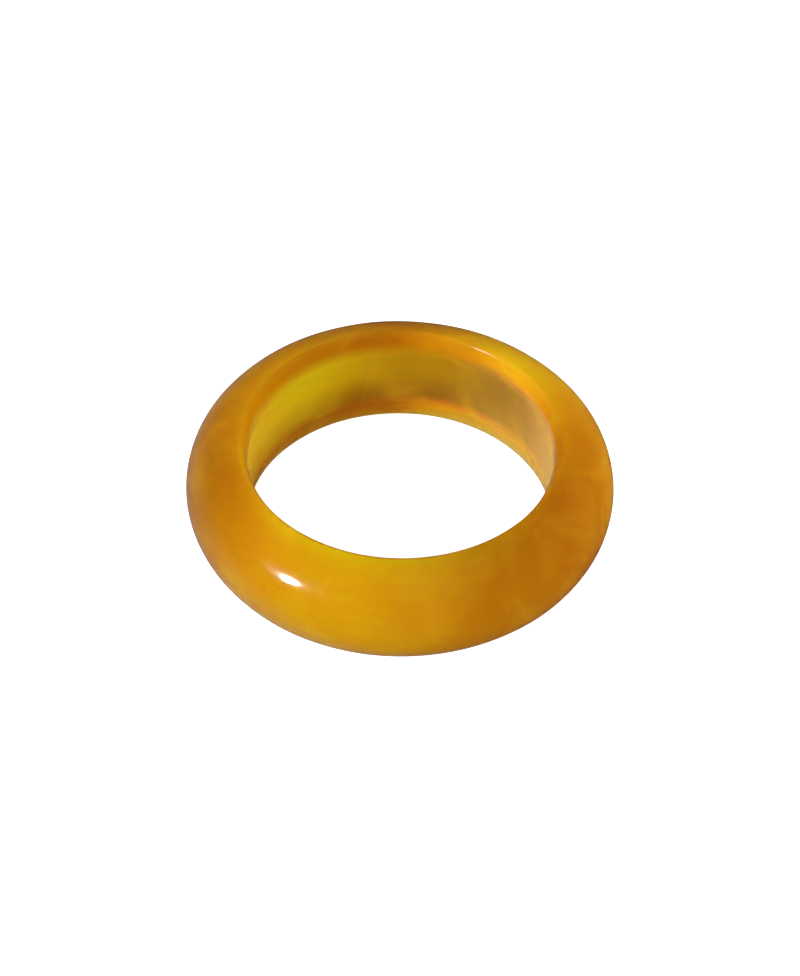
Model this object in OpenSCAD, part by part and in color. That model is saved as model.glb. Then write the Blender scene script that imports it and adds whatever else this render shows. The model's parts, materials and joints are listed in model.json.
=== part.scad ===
// A plain band ring for a finger, cut and polished from one piece of stone.
// Millimetres. The ring's axis is Z, and the origin is the centre of the ring.
//
// The band is one section turned about the axis. From the middle plane up to the rim
// and down into the bore, the section runs through five stretches:
//   crown      the round outer face at the middle of the band
//   shoulder   a flatter arc that carries the crown on towards the rim
//   edge       the small round that forms the rim's crest
//   easing     a gentle arc that opens the bore towards the rim
//   bore       the straight wall that sits on the finger
// Neighbouring arcs share a tangent, and the lower half mirrors the upper half.

/* [Size] */
// Ring size: the inner circumference of the band
ring_size = 57; // [44:0.5:72]
// Thickness of the band at its middle, from the bore to the crown
wall = 3.72; // [3.6:0.02:4]
// Width of the band along the ring's axis
band_w = 6.96; // [6.8:0.02:7.4]

/* [Section] */
// Radius of the crown
crown_r = 3.18; // [3:0.02:3.3]
// Radius of the small round at each rim
edge_r = 0.3; // [0.2:0.02:0.4]
// Distance from the bore's wall to the crest of the rim
crest_inset = 0.53; // [0.48:0.01:0.65]
// Length of the straight wall inside the band
bore_flat = 4.68; // [4:0.02:5.2]

/* [Hidden] */

// Colour of the stone
honey = [0.78, 0.52, 0.04];
// Number of facets that a preview gives each circle
round_fn = 160;
// Angle above the middle plane at which the crown runs into the shoulder
blend_angle = 42;
// A round stands this far proud of its neighbour, so that the two circles cross cleanly
proud = 0.001;

bore_r = ring_size / (2 * PI);
outer_r = bore_r + wall;
half_w = band_w / 2;
half_flat = bore_flat / 2;

// Centres of the arcs are [distance from the ring's axis, height above the middle plane]
crown_c = [outer_r - crown_r, 0];
edge_c = [bore_r + crest_inset, half_w - edge_r];

// The shoulder is tangent to the crown at blend_angle, and to the edge
blend_dir = [cos(blend_angle), sin(blend_angle)];
reach = edge_c - crown_c;
spare = crown_r - edge_r;
extra = (reach * reach - spare * spare) / (2 * (spare - reach * blend_dir));
shoulder_r = crown_r + extra;
shoulder_c = crown_c - extra * blend_dir;

// The easing is tangent to the bore's wall at the end of the flat, and to the edge
rise = edge_c[1] - half_flat;
easing_r = (crest_inset * crest_inset + rise * rise - edge_r * edge_r) / (2 * (crest_inset - edge_r));
easing_c = [bore_r + easing_r, half_flat];

// Direction, in degrees, from one point to another
function bearing(from, to) = atan2(to[1] - from[1], to[0] - from[0]);

// What lies outside the circle about c, between the bearings a0 and a1
module beyond(c, r, a0, a1) {
    far = 3 * r;
    translate(c)
        difference() {
            polygon([
                [0, 0],
                far * [cos(a0), sin(a0)],
                far * [cos((a0 + a1) / 2), sin((a0 + a1) / 2)],
                far * [cos(a1), sin(a1)]
            ]);
            circle(r = r, $fn = round_fn);
        }
}

// What the two shoulders leave, out from the bore's wall, still with sharp corners
module sharp_section() {
    intersection() {
        translate([bore_r, -band_w])
            square([2 * wall, 2 * band_w]);
        translate(shoulder_c)
            circle(r = shoulder_r, $fn = round_fn);
        translate([shoulder_c[0], -shoulder_c[1]])
            circle(r = shoulder_r, $fn = round_fn);
    }
}

// The upper rim's waste: outside the edge, and outside the easing
module rim_waste() {
    beyond(edge_c, edge_r + 2 * proud, bearing(shoulder_c, edge_c), bearing(easing_c, edge_c));
    beyond(easing_c, easing_r + proud, 120, 180);
}

module section() {
    difference() {
        sharp_section();
        beyond(crown_c, crown_r + proud, -blend_angle, blend_angle);
        rim_waste();
        mirror([0, 1])
            rim_waste();
    }
}

module ring() {
    color(honey)
        rotate_extrude($fn = 2 * round_fn)
            section();
}

ring();
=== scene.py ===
# a plain domed band ring of honey-yellow stone, polished, on a pale studio floor
import json
import math

import bpy
import numpy as np
from mathutils import Matrix, Vector


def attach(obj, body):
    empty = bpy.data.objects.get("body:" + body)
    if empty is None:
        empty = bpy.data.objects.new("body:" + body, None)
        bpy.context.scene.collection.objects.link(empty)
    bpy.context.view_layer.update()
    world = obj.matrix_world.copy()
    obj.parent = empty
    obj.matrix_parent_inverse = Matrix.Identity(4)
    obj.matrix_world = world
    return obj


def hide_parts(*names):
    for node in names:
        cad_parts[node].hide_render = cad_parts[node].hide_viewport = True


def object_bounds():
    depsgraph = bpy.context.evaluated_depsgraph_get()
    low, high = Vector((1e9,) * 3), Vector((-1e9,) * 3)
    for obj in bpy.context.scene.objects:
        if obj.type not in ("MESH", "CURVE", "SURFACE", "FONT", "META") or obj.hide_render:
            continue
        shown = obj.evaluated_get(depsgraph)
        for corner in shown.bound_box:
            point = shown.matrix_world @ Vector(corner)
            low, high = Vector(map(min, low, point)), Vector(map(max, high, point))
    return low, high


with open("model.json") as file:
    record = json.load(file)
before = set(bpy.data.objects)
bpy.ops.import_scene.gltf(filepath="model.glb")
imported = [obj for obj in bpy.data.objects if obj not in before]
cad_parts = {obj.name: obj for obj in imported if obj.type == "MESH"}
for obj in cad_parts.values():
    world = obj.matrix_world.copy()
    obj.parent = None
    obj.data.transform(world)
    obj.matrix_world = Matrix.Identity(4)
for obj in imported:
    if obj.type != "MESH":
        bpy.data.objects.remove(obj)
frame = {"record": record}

mm = 0.001
cadLow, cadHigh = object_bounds()  # the CAD model's own box
boreMount = next(m for m in frame["record"]["mounts"] if m["name"] == "finger_bore")
boreRadius = boreMount["dims"]["r_mm"] * mm
outerRadius = (cadHigh.x - cadLow.x) / 2
halfWidth = (cadHigh.z - cadLow.z) / 2
ringCentre = (cadLow + cadHigh) / 2

cameraSetup = {
    "elevation": 45.54,  # degrees above the horizon
    "roll": 0.915,  # degrees; the right side of the view sinks
    "distance": 156.2 * mm,  # from the ring's centre
    "lens": 96.1,  # mm, on a 36 mm sensor along the long side
    "aimBelow": 0.38 * mm,  # how far under the ring's centre it looks
}


def placeCamera(setup):
    # back is the unit vector from the ring to the camera: (0, -cos e, sin e)
    e = math.radians(setup["elevation"])
    back = Vector((0, -math.cos(e), math.sin(e)))
    up = Vector((0, math.sin(e), math.cos(e)))
    data = bpy.data.cameras.new("camera")
    data.lens = setup["lens"]
    data.sensor_width = 36
    data.clip_start, data.clip_end = 0.005, 20
    camera = bpy.data.objects.new("camera", data)
    bpy.context.scene.collection.objects.link(camera)
    place = ringCentre + back * setup["distance"]
    aim = ringCentre - up * setup["aimBelow"]
    turn = (aim - place).to_track_quat("-Z", "Y").to_matrix().to_4x4()
    roll = Matrix.Rotation(math.radians(setup["roll"]), 4, "Z")
    camera.matrix_world = Matrix.Translation(place) @ turn @ roll
    bpy.context.scene.camera = camera


placeCamera(cameraSetup)
print("camera placed")

band = {
    "crown": 3.18 * mm,  # radius of the outer face at the middle
    "blend": 42,  # degrees up the section where the crown runs into the shoulder
    "edge": 0.30 * mm,  # radius of the rim's round
    "crestInset": 0.53 * mm,  # bore wall to the rim's crest
    "flat": 4.68 * mm,  # straight length of the bore
    "around": 600,  # points round the ring
    "sectionSteps": (26, 18, 14, 9, 8),  # crown, shoulder, edge, easing, half the bore
    "waviness": 0.012 * mm,  # how far hand polishing strays from a true turning
    "waves": ((2, 1), (3, 2), (5, 1), (7, 3), (11, 2), (13, 4)),  # repeats round and across
    "seed": 7,
}


def arcPoints(centre, radius, start, end, steps):
    # centre + radius * (cos a, sin a), for a from start up to but not at end
    a = np.linspace(start, end, steps, endpoint=False)
    return np.stack([centre[0] + radius * np.cos(a), centre[1] + radius * np.sin(a)], 1)


def bandSection(shape):
    # five tangent stretches from the crown's middle to the bore's middle, then their mirror
    crownC = np.array([outerRadius - shape["crown"], 0])
    edgeC = np.array([boreRadius + shape["crestInset"], halfWidth - shape["edge"]])
    blend = math.radians(shape["blend"])
    blendDir = np.array([math.cos(blend), math.sin(blend)])
    # shoulder: the circle that touches the crown at the blend and holds the edge's circle
    reach = edgeC - crownC
    spare = shape["crown"] - shape["edge"]
    extra = (reach @ reach - spare**2) / (2 * (spare - reach @ blendDir))
    shoulderC = crownC - extra * blendDir
    shoulderR = shape["crown"] + extra
    # easing: the circle that touches the bore's wall and holds the edge's circle
    inset, rise = shape["crestInset"], edgeC[1] - shape["flat"] / 2
    easingR = (inset**2 + rise**2 - shape["edge"] ** 2) / (2 * (inset - shape["edge"]))
    easingC = np.array([boreRadius + easingR, shape["flat"] / 2])
    toEdge = math.atan2(*(edgeC - shoulderC)[::-1])
    toEasing = math.atan2(*(edgeC - easingC)[::-1])
    steps = shape["sectionSteps"]
    wall = np.linspace(shape["flat"] / 2, 0, steps[4], endpoint=False)
    upper = np.concatenate([
        arcPoints(crownC, shape["crown"], 0, blend, steps[0]),
        arcPoints(shoulderC, shoulderR, blend, toEdge, steps[1]),
        arcPoints(edgeC, shape["edge"], toEdge, toEasing, steps[2]),
        arcPoints(easingC, easingR, toEasing, math.pi, steps[3]),
        np.stack([np.full(steps[4], boreRadius), wall], 1),
    ])
    middle = np.array([[boreRadius, 0.0]])
    lower = upper[:0:-1] * [1, -1]
    return np.concatenate([upper, middle, lower])


def sectionNormals(points):
    # a quarter turn of the direction from the point before to the point after
    along = np.roll(points, -1, 0) - np.roll(points, 1, 0)
    out = np.stack([along[:, 1], -along[:, 0]], 1)
    return out / np.linalg.norm(out, axis=1, keepdims=True)


def polishWaves(shape, angle, place):
    # a sum of slow waves round the ring and across its section, each with its own phase
    random = np.random.default_rng(shape["seed"])
    total = np.zeros((len(angle), len(place)))
    for around, across in shape["waves"]:
        phase, slide = random.uniform(0, 2 * np.pi, 2)
        wave = np.sin(around * angle + phase)[:, None] * np.sin(across * place + slide)[None, :]
        total += wave / math.sqrt(around)
    return shape["waviness"] * total


def makeBand(shape):
    # the section turned about Z, with the waves laid along each point's normal
    section = bandSection(shape)
    out = sectionNormals(section)
    angle = np.linspace(0, 2 * np.pi, shape["around"], endpoint=False)
    step = np.linalg.norm(np.roll(section, -1, 0) - section, axis=1)
    place = 2 * np.pi * (np.cumsum(step) - step) / step.sum()
    lift = polishWaves(shape, angle, place)
    r = section[None, :, 0] + lift * out[None, :, 0]
    z = section[None, :, 1] + lift * out[None, :, 1]
    co = np.stack([r * np.cos(angle)[:, None], r * np.sin(angle)[:, None], z], 2)
    rows, cols = r.shape
    i, j = np.meshgrid(np.arange(rows), np.arange(cols), indexing="ij")
    nextI, nextJ = (i + 1) % rows, (j + 1) % cols
    quads = np.stack([i * cols + j, nextI * cols + j, nextI * cols + nextJ, i * cols + nextJ], 2)
    mesh = bpy.data.meshes.new("ring_band")
    mesh.from_pydata(co.reshape(-1, 3), [], quads.reshape(-1, 4))
    mesh.polygons.foreach_set("use_smooth", np.ones(len(mesh.polygons), bool))
    mesh.update()
    piece = bpy.data.objects.new("ring_band", mesh)
    bpy.context.scene.collection.objects.link(piece)
    return piece


ringBand = makeBand(band)
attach(ringBand, "root")
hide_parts("ring")
print("band made", len(ringBand.data.polygons), "faces")

# honey-yellow stone: redder at the sides, greener in the bore, clouded and faintly banded; the tones
# round the ring are partly the stone's and partly painted light and shade: painted light on the
# front-left, painted shade on the right and low at the back of the bore, a painted glow on the far-right
# rims and the bore's left wall
stone = {
    "face": {  # degrees round the ring: colour of the outer face, partly the stone's and partly painted light on the front-left and far right and painted shade on the right and at the back
        0: (0.46, 0.205, 0.001),
        45: (0.68, 0.42, 0.004),
        95: (0.40, 0.17, 0.001),
        140: (0.60, 0.28, 0.002),
        190: (0.41, 0.185, 0.001),
        250: (0.74, 0.38, 0.002),
        305: (0.45, 0.18, 0.001),
        335: (0.38, 0.14, 0.001),
    },
    "highRimToneAndLight": {  # colour of the eased rim above the bore, with a painted glow on the far-right rim
        0: (0.42, 0.17, 0.002),
        45: (0.90, 0.41, 0.010),
        75: (0.62, 0.25, 0.003),
        100: (0.37, 0.125, 0.001),
        150: (0.50, 0.20, 0.001),
        215: (0.48, 0.235, 0.002),
        300: (0.46, 0.165, 0.002),
    },
    "lowRimToneAndLight": {  # colour of the eased rim below the bore, with a painted glow and a pale painted reflection on the right, from 0 to 70 degrees
        0: (0.80, 0.40, 0.060),
        40: (1.00, 0.41, 0.030),
        70: (1.00, 0.34, 0.008),
        95: (0.42, 0.12, 0.001),
        120: (0.34, 0.11, 0.001),
        160: (0.44, 0.17, 0.001),
        240: (0.48, 0.20, 0.002),
    },
    "highBoreToneAndLight": {  # colour of the bore's wall above its middle, with a painted glow on the left and a pale painted reflection on the right
        0: (0.74, 0.53, 0.085),
        45: (0.34, 0.215, 0.002),
        85: (0.46, 0.30, 0.001),
        130: (0.80, 0.57, 0.002),
        170: (0.82, 0.47, 0.003),
        240: (0.62, 0.36, 0.004),
        300: (0.56, 0.30, 0.010),
    },
    "lowBoreToneAndLight": {  # colour of the bore's wall below its middle, with painted shade at the back and a pale painted reflection on the right
        0: (0.78, 0.53, 0.130),
        45: (0.38, 0.25, 0.015),
        90: (0.26, 0.12, 0.001),
        135: (0.56, 0.35, 0.001),
        170: (0.63, 0.31, 0.002),
        240: (0.56, 0.32, 0.004),
        300: (0.54, 0.30, 0.020),
    },
    "cream": (0.90, 0.58, 0.02, 1),  # soft pale clouds
    "umber": (0.50, 0.18, 0.002, 1),  # faint growth bands
    "brown": (0.25, 0.08, 0.002, 1),  # rare flecks
    "driftSize": 5 * mm,  # how slowly the edges between tones wander
    "drift": 0.04,  # share of a turn that they wander over
    "cloudSize": 2.0 * mm,
    "cloudSpan": (0.45, 0.75),  # noise values between which a cloud comes in
    "cloudShare": (0.19, 0.42),  # on the polished face and in the bore
    "bandGap": 0.8 * mm,  # from one growth band to the next
    "bandTilt": (12, -8, 0),  # degrees that the bands lie off level
    "bandSpan": (0.2, 0.9),
    "bandShare": 0.05,
    "fleckGap": 2.4 * mm,  # space between flecks
    "fleckSpan": (0.01, 0.05),  # core and outer edge of a fleck, in gaps
    "fleckShare": 0.25,
    "reach": (1.0, 0.6, 0.2),  # how far red, green and blue light travel, as shares
    "depth": 12 * mm,  # how far red light travels in the stone
    "ior": 1.54,
    "polish": 0.12,  # roughness of the outer face
    "satin": 0.34,  # roughness of the bore
    "lowFade": (0.8 * mm, -1.6 * mm),  # heights between which the high bore turns to the low
    "rimFade": (0.0 * mm, -1.0 * mm),  # and the high rim to the low
    "boreMiddle": 0.38 * mm,  # height at the middle of the bore's tones
    "rimStart": (1.5 * mm, 2.7 * mm),  # how far above or below that the bore turns to rim
    "rimEnd": (0.42 * mm, 0.62 * mm),  # how far off the bore's wall the rim turns to face
    "wallEnd": (0.1 * mm, 0.2 * mm),  # how far off the bore's wall the satin ends
    "satinEnd": (1.8 * mm, 2.3 * mm),  # how far from the middle plane satin turns to polish
    "smearSize": 0.9 * mm,
    "smearSpan": (0.35, 0.7),
    "smear": (0.85, 1.25),  # roughness at the clearest and dullest spots, as shares
    "rippleSize": 1.6 * mm,
    "rippleDepth": 0.0025 * mm,
    "grainSize": 0.09 * mm,  # fine lines that turning leaves in the bore
    "grainDepth": 0.0020 * mm,
    "pitGap": 0.55 * mm,  # space between pits in the polish
    "pitWidth": 0.12,  # radius of a pit, in gaps
    "pitDepth": 0.0020 * mm,
}


def addNode(tree, kind, settings, inputs):
    # one shader node: its properties, then each input as a value or as a link from a socket
    node = tree.nodes.new("ShaderNode" + kind)
    for name, value in settings.items():
        setattr(node, name, value)
    for name, value in inputs.items():
        if isinstance(value, bpy.types.NodeSocket):
            tree.links.new(value, node.inputs[name])
        else:
            node.inputs[name].default_value = value
    return node


def mixColours(tree, share, first, second):
    # first * (1 - share) + second * share
    return addNode(tree, "Mix", {"data_type": "RGBA"}, {0: share, 6: first, 7: second}).outputs[2]


def arithmetic(tree, operation, first, second=0.0):
    # first and second joined by that operation
    return addNode(tree, "Math", {"operation": operation}, {0: first, 1: second}).outputs[0]


def smoothStep(tree, value, start, end, low=0.0, high=1.0):
    # low where value is start, high where it is end, and an S curve between
    inputs = {0: value, 1: start, 2: end, 3: low, 4: high}
    return addNode(tree, "MapRange", {"interpolation_type": "SMOOTHSTEP"}, inputs).outputs[0]


def noise(tree, place, size, detail=3.0, distortion=0.0):
    # cloudy values about 0.5, with blobs about that size
    inputs = {"Vector": place, "Scale": 0.5 / size, "Detail": detail, "Distortion": distortion}
    return addNode(tree, "TexNoise", {}, inputs).outputs[0]


def toneWheel(tree, turn, tones):
    # colours set at angles round Z, in degrees, and eased from each one to the next
    node = addNode(tree, "ValToRGB", {}, {"Fac": turn})
    ramp = node.color_ramp
    ramp.interpolation = "EASE"
    ramp.elements[0].color = ramp.elements[1].color = (*tones[0], 1)
    for angle, tone in tones.items():
        if angle > 0:
            ramp.elements.new(angle / 360).color = (*tone, 1)
    return node.outputs[0]


def wheelTurn(tree, place, look):
    # atan2(y, x) as a share of a whole turn, moved either way by noise
    parts = addNode(tree, "SeparateXYZ", {}, {0: place}).outputs
    angle = arithmetic(tree, "ARCTAN2", parts["Y"], parts["X"])
    share = arithmetic(tree, "DIVIDE", angle, 2 * math.pi)
    wander = arithmetic(tree, "SUBTRACT", noise(tree, place, look["driftSize"]), 0.5)
    sway = arithmetic(tree, "MULTIPLY", wander, look["drift"])
    return arithmetic(tree, "FRACT", arithmetic(tree, "ADD", share, sway))


def offAxis(tree, place):
    # distance from Z: the length of (x, y, 0)
    flat = addNode(tree, "VectorMath", {"operation": "MULTIPLY"}, {0: place, 1: (1, 1, 0)})
    return addNode(tree, "VectorMath", {"operation": "LENGTH"}, {0: flat.outputs[0]}).outputs["Value"]


def wheelPair(tree, turn, height, fade, high, low):
    # the high wheel's tone, easing to the low wheel's as the height falls through fade
    share = smoothStep(tree, height, *fade)
    return mixColours(tree, share, toneWheel(tree, turn, high), toneWheel(tree, turn, low))


def stoneColourAndPaintedLight(tree, place, away, height, inBore, look):
    # the bore's tones, then the rims' and the face's past it, each partly painted light and shade, then
    # clouds, bands and flecks
    turn = wheelTurn(tree, place, look)
    # these tone wheels hold painted light, shade, glow and reflection as well as the stone's tone
    colour = wheelPair(tree, turn, height, look["lowFade"], look["highBoreToneAndLight"], look["lowBoreToneAndLight"])
    rim = wheelPair(tree, turn, height, look["rimFade"], look["highRimToneAndLight"], look["lowRimToneAndLight"])
    fromMiddle = arithmetic(tree, "SUBTRACT", height, look["boreMiddle"])
    rimShare = smoothStep(tree, arithmetic(tree, "ABSOLUTE", fromMiddle), *look["rimStart"])
    colour = mixColours(tree, rimShare, colour, rim)
    start, end = look["rimEnd"]
    faceShare = smoothStep(tree, away, boreRadius + start, boreRadius + end)
    colour = mixColours(tree, faceShare, colour, toneWheel(tree, turn, look["face"]))
    cloud = noise(tree, place, look["cloudSize"], detail=5.0, distortion=0.8)
    strength = smoothStep(tree, inBore, 0.0, 1.0, *look["cloudShare"])
    cloudShare = arithmetic(tree, "MULTIPLY", smoothStep(tree, cloud, *look["cloudSpan"]), strength)
    colour = mixColours(tree, cloudShare, colour, look["cream"])
    tilt = [math.radians(angle) for angle in look["bandTilt"]]
    level = addNode(tree, "Mapping", {}, {"Vector": place, "Rotation": tilt}).outputs[0]
    wave = {
        "Vector": level,
        "Scale": math.pi / 10 / look["bandGap"],  # a band every gap
        "Distortion": 5.0,
        "Detail": 3.0,
        "Detail Scale": 0.6,
    }
    bands = addNode(tree, "TexWave", {"bands_direction": "Z"}, wave).outputs[1]
    bandShare = smoothStep(tree, bands, *look["bandSpan"], 0.0, look["bandShare"])
    colour = mixColours(tree, bandShare, colour, look["umber"])
    fleck = {"Vector": place, "Scale": 1 / look["fleckGap"]}
    distance = addNode(tree, "TexVoronoi", {}, fleck).outputs["Distance"]
    fleckShare = smoothStep(tree, distance, *look["fleckSpan"], look["fleckShare"], 0.0)
    return mixColours(tree, fleckShare, colour, look["brown"])


def stoneRelief(tree, place, inBore, look):
    # slow ripples all over, turning lines in the bore and fine pits on the polish, as bumps
    ripple = noise(tree, place, look["rippleSize"], detail=2.0)
    bump = addNode(tree, "Bump", {}, {"Height": ripple, "Distance": look["rippleDepth"]}).outputs[0]
    along = {"Vector": place, "Scale": (0.15, 0.15, 1.0)}  # draws the grain out round the bore
    stretched = addNode(tree, "Mapping", {}, along).outputs[0]
    grain = arithmetic(tree, "MULTIPLY", noise(tree, stretched, look["grainSize"], detail=2.0), inBore)
    lines = {"Height": grain, "Distance": look["grainDepth"], "Normal": bump}
    bump = addNode(tree, "Bump", {}, lines).outputs[0]
    cell = {"Vector": place, "Scale": 1 / look["pitGap"]}
    distance = addNode(tree, "TexVoronoi", {}, cell).outputs["Distance"]
    onFace = arithmetic(tree, "SUBTRACT", 1.0, inBore)
    pit = arithmetic(tree, "MULTIPLY", smoothStep(tree, distance, 0.0, look["pitWidth"]), onFace)
    pits = {"Height": pit, "Distance": look["pitDepth"], "Normal": bump}
    return addNode(tree, "Bump", {}, pits).outputs[0]


def stoneMaterial(look):
    # translucent stone: polished outside and on the rims, satin on the bore's straight wall
    material = bpy.data.materials.new("honeyStone")
    material.use_nodes = True
    tree = material.node_tree
    tree.nodes.clear()
    place = addNode(tree, "TexCoord", {}, {}).outputs["Object"]
    away = offAxis(tree, place)
    height = addNode(tree, "SeparateXYZ", {}, {0: place}).outputs["Z"]
    start, end = look["wallEnd"]
    nearWall = smoothStep(tree, away, boreRadius + start, boreRadius + end, 1.0, 0.0)
    level = smoothStep(tree, arithmetic(tree, "ABSOLUTE", height), *look["satinEnd"], 1.0, 0.0)
    inBore = arithmetic(tree, "MULTIPLY", nearWall, level)
    smudge = noise(tree, place, look["smearSize"])
    smear = smoothStep(tree, smudge, *look["smearSpan"], *look["smear"])
    gloss = smoothStep(tree, inBore, 0.0, 1.0, look["polish"], look["satin"])
    shader = {
        # base colour: the stone's tones with painted light and shade
        "Base Color": stoneColourAndPaintedLight(tree, place, away, height, inBore, look),
        "Roughness": arithmetic(tree, "MULTIPLY", gloss, smear),
        "Normal": stoneRelief(tree, place, inBore, look),
        "IOR": look["ior"],
        "Subsurface Weight": 1.0,
        "Subsurface Radius": look["reach"],
        "Subsurface Scale": look["depth"],
    }
    principled = addNode(tree, "BsdfPrincipled", {"subsurface_method": "RANDOM_WALK"}, shader)
    addNode(tree, "OutputMaterial", {}, {"Surface": principled.outputs["BSDF"]})
    return material


ringBand.data.materials.append(stoneMaterial(stone))
print("stone made")

# a pale sweep that only the camera sees, so the polish mirrors just the sky and the seen lamps
sweep = {
    "colour": (0.55, 0.55, 0.55, 1),
    "glow": 0.97,  # keeps the paper's white even
    "roughness": 0.9,
    "gap": 0.01 * mm,  # from the paper up to the ring
    "hub": 0.01,  # radius of the innermost points, metres
    "flat": 0.9,  # radius of the level middle, metres
    "rise": 0.6,  # radius of the bend up to the wall
    "rings": 48,  # steps up the bend
    "around": 96,
}
lamps = [  # azimuth in degrees from +X towards +Y; seen means mirrored in the polish
    {"name": "key", "azimuth": 213.5, "elevation": 31, "distance": 0.45,
     "size": 0.055, "power": 1.3, "seen": True},
    {"name": "tail", "azimuth": 204, "elevation": 31, "distance": 0.45,
     "size": 0.09, "power": 0.022, "seen": True},
    {"name": "back", "azimuth": 48, "elevation": 15, "distance": 0.5,
     "size": 0.35, "power": 1.7, "seen": False},
    {"name": "right", "azimuth": 338, "elevation": 22, "distance": 0.5,
     "size": 0.3, "power": 0.6, "seen": False},
    {"name": "low", "azimuth": 350, "elevation": -20, "distance": 0.5,
     "size": 0.3, "power": 1.6, "seen": False},
    {"name": "front", "azimuth": 268, "elevation": 30, "distance": 0.5,
     "size": 0.3, "power": 0.55, "seen": False},
    {"name": "top", "azimuth": 0, "elevation": 85, "distance": 0.5,
     "size": 0.4, "power": 0.3, "seen": False},
    {"name": "bounce", "azimuth": 235, "elevation": -60, "distance": 0.5,
     "size": 0.3, "power": 0.50, "seen": False},
]
sky = {
    "colour": (1.0, 0.98, 0.95, 1),
    "dim": 0.05,  # strength overhead and in front
    "bright": 0.32,  # strength low on the left, where the pale paper would be mirrored
    "brightSide": (-0.70, 0.30, -0.65),  # towards the left, behind and under the ring
    "edge": (0.5, 0.97),  # cosines off that way between which the sky brightens
}


def makeSweep(look):
    # level out to the flat radius, then (flat + rise sin a, rise (1 - cos a)) for a up to 90 degrees
    bend = np.linspace(0, math.pi / 2, look["rings"])
    r = np.concatenate([[look["hub"]], look["flat"] + look["rise"] * np.sin(bend)])
    z = np.concatenate([[0.0], look["rise"] * (1 - np.cos(bend))])
    z += cadLow.z - look["gap"]
    angle = np.linspace(0, 2 * np.pi, look["around"], endpoint=False)
    x, y = r[:, None] * np.cos(angle), r[:, None] * np.sin(angle)
    co = np.stack(np.broadcast_arrays(x, y, z[:, None]), 2)
    rows, cols = co.shape[:2]
    i, j = np.meshgrid(np.arange(rows - 1), np.arange(cols), indexing="ij")
    nextJ = (j + 1) % cols
    quads = np.stack([i * cols + j, (i + 1) * cols + j, (i + 1) * cols + nextJ, i * cols + nextJ], 2)
    mesh = bpy.data.meshes.new("sweep")
    mesh.from_pydata(co.reshape(-1, 3).tolist(), [], quads.reshape(-1, 4).tolist() + [list(range(cols))])
    mesh.polygons.foreach_set("use_smooth", np.ones(len(mesh.polygons), bool))
    floor = bpy.data.objects.new("sweep", mesh)
    bpy.context.scene.collection.objects.link(floor)
    floor.visible_glossy = False
    floor.visible_diffuse = False
    floor.visible_transmission = False
    floor.visible_shadow = False
    material = bpy.data.materials.new("palePaper")
    material.use_nodes = True
    shader = material.node_tree.nodes["Principled BSDF"]
    shader.inputs["Base Color"].default_value = look["colour"]
    shader.inputs["Roughness"].default_value = look["roughness"]
    shader.inputs["Specular IOR Level"].default_value = 0.0
    shader.inputs["Emission Color"].default_value = (1, 1, 1, 1)
    shader.inputs["Emission Strength"].default_value = look["glow"]
    mesh.materials.append(material)


def makeLamp(lamp):
    # a disc at distance * (cos a cos e, sin a cos e, sin e) from the ring's centre, facing it
    a, e = math.radians(lamp["azimuth"]), math.radians(lamp["elevation"])
    out = Vector((math.cos(a) * math.cos(e), math.sin(a) * math.cos(e), math.sin(e)))
    data = bpy.data.lights.new(lamp["name"], "AREA")
    data.shape = "DISK"
    data.size = lamp["size"]
    data.energy = lamp["power"]
    light = bpy.data.objects.new(lamp["name"], data)
    bpy.context.scene.collection.objects.link(light)
    light.visible_camera = False
    light.visible_glossy = lamp["seen"]
    turn = (-out).to_track_quat("-Z", "Y").to_matrix().to_4x4()
    light.matrix_world = Matrix.Translation(ringCentre + out * lamp["distance"]) @ turn


def makeSky(look):
    # strength steps up smoothly with the cosine between the way that is looked and the bright side
    world = bpy.data.worlds.new("sky")
    bpy.context.scene.world = world
    world.use_nodes = True
    tree = world.node_tree
    way = addNode(tree, "TexCoord", {}, {}).outputs["Generated"]
    side = Vector(look["brightSide"]).normalized()
    dot = addNode(tree, "VectorMath", {"operation": "DOT_PRODUCT"}, {0: way, 1: side})
    strength = smoothStep(tree, dot.outputs["Value"], *look["edge"], look["dim"], look["bright"])
    background = tree.nodes["Background"]
    background.inputs["Color"].default_value = look["colour"]
    tree.links.new(strength, background.inputs["Strength"])


makeSweep(sweep)
for lamp in lamps:
    makeLamp(lamp)
makeSky(sky)
bpy.context.scene.view_settings.view_transform = "Standard"
print("sweep, lamps and sky made")
